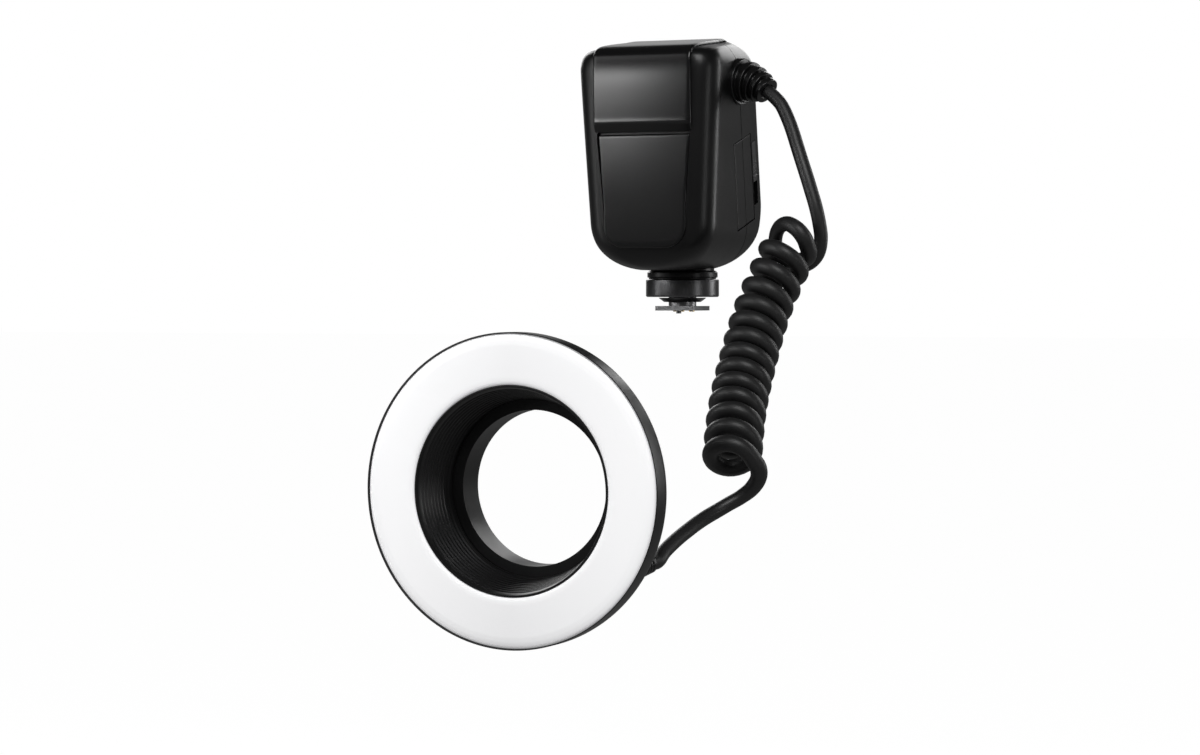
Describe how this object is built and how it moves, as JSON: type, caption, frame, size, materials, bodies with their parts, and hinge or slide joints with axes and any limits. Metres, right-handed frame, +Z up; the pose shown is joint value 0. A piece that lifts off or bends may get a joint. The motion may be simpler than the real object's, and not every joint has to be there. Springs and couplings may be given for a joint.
{
  "type": "macro ring flash",
  "caption": "Macro ring flash: a control unit on a hot-shoe foot with lock ring and rear display, a curly cord, and a ring-shaped flash head with an adapter for a lens's filter thread.",
  "frame": {"origin": "centre of the shoe foot's bottom face", "axes": "+Z up through the control unit, -Y the way the flash faces and the foot slides into the shoe, +X to the viewer's right when facing the flash"},
  "size_m": [0.1416, 0.2088, 0.2503],
  "materials": {
    "case_plastic": "fine satin black moulding",
    "fascia_plastic": "dark charcoal, semi-gloss",
    "panel_plastic": "black satin",
    "window_clear": "smoked clear plastic",
    "display_glass": "grey-green liquid crystal cell",
    "key_plastic": "dark grey satin",
    "circuit_board": "green solder mask",
    "component_dark": "dark sleeve",
    "winding": "varnished winding",
    "silicone": "grey silicone",
    "contact_metal": "gold plated",
    "battery_wrap": "black moulding",
    "black_metal": "satin black anodised",
    "bare_metal": "plain steel",
    "black_rubber": "matte black",
    "cord_jacket": "matte black jacket",
    "diffuser_white": "opal white",
    "reflector_bright": "bright reflector",
    "lamp_glass": "clear glass tube",
    "holder_white": "white plastic",
    "adapter_metal": "dark grey anodised"
  },
  "bodies": {
    "flash": {"front_shell": "case_plastic", "rear_shell": "case_plastic", "upper_fascia": "fascia_plastic", "lower_fascia": "fascia_plastic", "control_panel": "panel_plastic", "display_window": "window_clear", "display_module": "display_glass", "dial_encoder": "component_dark", "button_pad": "silicone", "main_board": "circuit_board", "power_board": "circuit_board", "flash_capacitor": "component_dark", "inverter_transformer": "winding", "battery_tray": "panel_plastic", "battery_contacts": "contact_metal", "case_screws": "bare_metal", "cable_boot": "black_rubber", "foot_flange": "black_metal", "foot_plate": "bare_metal", "foot_screws": "bare_metal", "cord_upper_lead": "cord_jacket", "cord_coil": "cord_jacket", "cord_lower_lead": "cord_jacket", "ring_gland": "black_rubber", "ring_housing": "case_plastic", "ring_rear_cover": "case_plastic", "inner_baffle": "case_plastic", "diffuser": "diffuser_white", "reflector": "reflector_bright", "flash_tube_left": "lamp_glass", "flash_tube_right": "lamp_glass", "tube_holders": "holder_white", "trigger_board": "circuit_board", "release_spring_right": "bare_metal", "release_spring_left": "bare_metal", "ring_screws": "bare_metal"},
    "function_button_1": {"function_button_1": "key_plastic"},
    "function_button_2": {"function_button_2": "key_plastic"},
    "function_button_3": {"function_button_3": "key_plastic"},
    "function_button_4": {"function_button_4": "key_plastic"},
    "test_button": {"test_button": "key_plastic"},
    "set_button": {"set_button": "key_plastic"},
    "power_switch": {"power_switch": "key_plastic"},
    "select_dial": {"select_dial": "key_plastic"},
    "battery": {"battery_pack": "battery_wrap", "battery_end_cap": "case_plastic"},
    "battery_latch": {"battery_latch": "key_plastic"},
    "clamp": {"clamp_washer": "black_metal"},
    "lock_ring": {"lock_ring": "black_metal"},
    "locking_pin": {"locking_pin": "bare_metal"},
    "centre_contact": {"centre_contact": "contact_metal"},
    "side_contact_1": {"side_contact_1": "contact_metal"},
    "side_contact_2": {"side_contact_2": "contact_metal"},
    "side_contact_3": {"side_contact_3": "contact_metal"},
    "side_contact_4": {"side_contact_4": "contact_metal"},
    "release_right": {"release_plate_right": "key_plastic"},
    "release_left": {"release_plate_left": "key_plastic"},
    "adapter": {"adapter_ring": "adapter_metal"}
  },
  "joints": [
    {"name": "function_button_1_press", "type": "slide", "parent": "flash", "child": "function_button_1", "axis": [0, -0.9588, -0.284], "range_m": [0, 0.0006], "stiffness_N_per_m": 1500},
    {"name": "function_button_2_press", "type": "slide", "parent": "flash", "child": "function_button_2", "axis": [0, -0.9588, -0.284], "range_m": [0, 0.0006], "stiffness_N_per_m": 1500},
    {"name": "function_button_3_press", "type": "slide", "parent": "flash", "child": "function_button_3", "axis": [0, -0.9588, -0.284], "range_m": [0, 0.0006], "stiffness_N_per_m": 1500},
    {"name": "function_button_4_press", "type": "slide", "parent": "flash", "child": "function_button_4", "axis": [0, -0.9588, -0.284], "range_m": [0, 0.0006], "stiffness_N_per_m": 1500},
    {"name": "test_button_press", "type": "slide", "parent": "flash", "child": "test_button", "axis": [0, -0.9588, -0.284], "range_m": [0, 0.0006], "stiffness_N_per_m": 1500},
    {"name": "set_button_press", "type": "slide", "parent": "flash", "child": "set_button", "axis": [0, -0.9588, -0.284], "range_m": [0, 0.0006], "stiffness_N_per_m": 1500},
    {"name": "power_switch_slide", "type": "slide", "parent": "flash", "child": "power_switch", "axis": [0, -0.284, 0.9588], "range_m": [0, 0.004]},
    {"name": "select_dial_turn", "type": "hinge", "parent": "flash", "child": "select_dial", "pos_m": [0, 0.02149, 0.06051], "axis": [0, 0.9588, 0.284], "continuous": true},
    {"name": "battery_slide", "type": "slide", "parent": "flash", "child": "battery", "axis": [1, 0, 0], "range_m": [0, 0.056]},
    {"name": "battery_latch_slide", "type": "slide", "parent": "flash", "child": "battery_latch", "axis": [-0.0508, 0.2836, -0.9576], "range_m": [0, 0.005], "stiffness_N_per_m": 200},
    {"name": "clamp_lift", "type": "slide", "parent": "flash", "child": "clamp", "axis": [0, 0, 1], "range_m": [0, 0.00025]},
    {"name": "lock_ring_turn", "type": "hinge", "parent": "flash", "child": "lock_ring", "pos_m": [0, 0, 0.01], "axis": [0, 0, 1], "range_deg": [0, 216]},
    {"name": "locking_pin_lift", "type": "slide", "parent": "flash", "child": "locking_pin", "axis": [0, 0, 1], "range_m": [0, 0.0014]},
    {"name": "release_right_press", "type": "slide", "parent": "flash", "child": "release_right", "axis": [-1, 0, 0], "range_m": [0, 0.0016], "stiffness_N_per_m": 1200, "deforming": ["release_spring_right"]},
    {"name": "release_left_press", "type": "slide", "parent": "flash", "child": "release_left", "axis": [1, 0, 0], "range_m": [0, 0.0016], "stiffness_N_per_m": 1200, "deforming": ["release_spring_left"]},
    {"name": "adapter_turn", "type": "hinge", "parent": "flash", "child": "adapter", "pos_m": [0, -0.155, -0.0695], "axis": [0, 1, 0], "continuous": true},
    {"name": "centre_contact_press", "type": "slide", "parent": "flash", "child": "centre_contact", "axis": [0, 0, 1], "range_m": [0, 0.0005], "stiffness_N_per_m": 800},
    {"name": "side_contact_1_press", "type": "slide", "parent": "flash", "child": "side_contact_1", "axis": [0, 0, 1], "range_m": [0, 0.0005], "stiffness_N_per_m": 800},
    {"name": "side_contact_2_press", "type": "slide", "parent": "flash", "child": "side_contact_2", "axis": [0, 0, 1], "range_m": [0, 0.0005], "stiffness_N_per_m": 800},
    {"name": "side_contact_3_press", "type": "slide", "parent": "flash", "child": "side_contact_3", "axis": [0, 0, 1], "range_m": [0, 0.0005], "stiffness_N_per_m": 800},
    {"name": "side_contact_4_press", "type": "slide", "parent": "flash", "child": "side_contact_4", "axis": [0, 0, 1], "range_m": [0, 0.0005], "stiffness_N_per_m": 800}
  ],
  "couplings": [
    {"joint": "clamp_lift", "follows": "lock_ring_turn", "m_per_rad": 0.000066315},
    {"joint": "locking_pin_lift", "follows": "lock_ring_turn", "m_per_rad": 0.00037136}
  ]
}
